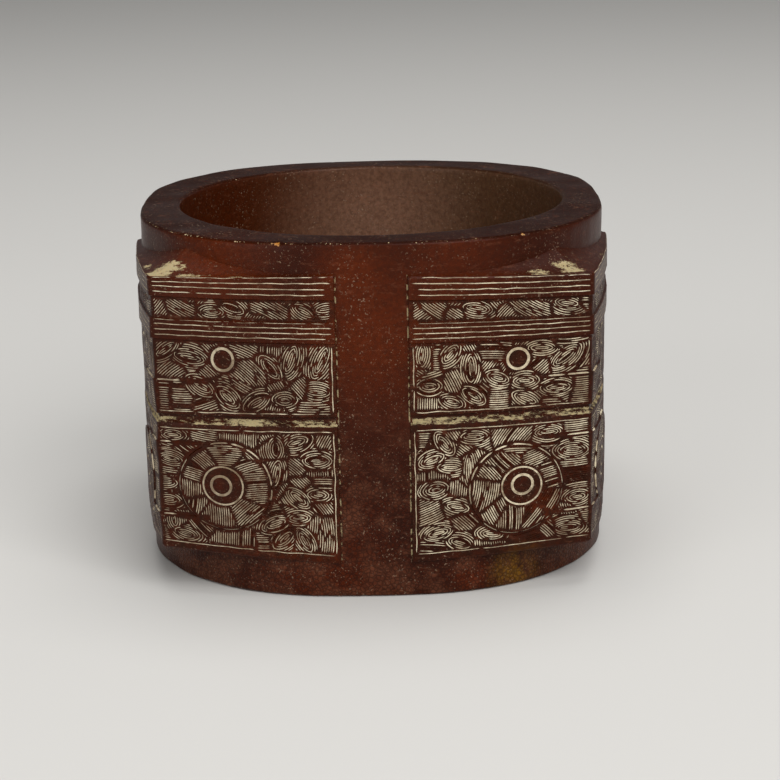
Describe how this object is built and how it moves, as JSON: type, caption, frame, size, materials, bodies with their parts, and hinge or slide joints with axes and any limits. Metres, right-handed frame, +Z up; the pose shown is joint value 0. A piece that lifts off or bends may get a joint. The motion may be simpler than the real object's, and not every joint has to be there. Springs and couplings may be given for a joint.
{
  "type": "jade cong tube",
  "caption": "Squat square tube with a round bore, collars, corner blocks carved in two registers and plain bands between them.",
  "frame": {"origin": "on the bore's axis, at the middle of the foot that the tube stands on", "axes": "+Z up along the bore; the plain bands face -Y, +X, +Y and -X, and the carved corners lie on the diagonals"},
  "size_m": [0.0738, 0.0738, 0.054],
  "materials": {
    "jade": "polished",
    "residue": "matte"
  },
  "bodies": {
    "root": {"jade_block": "jade", "pupil_ring_residue": "residue", "large_ring_residue": "residue", "small_ring_residue": "residue"}
  },
  "joints": []
}
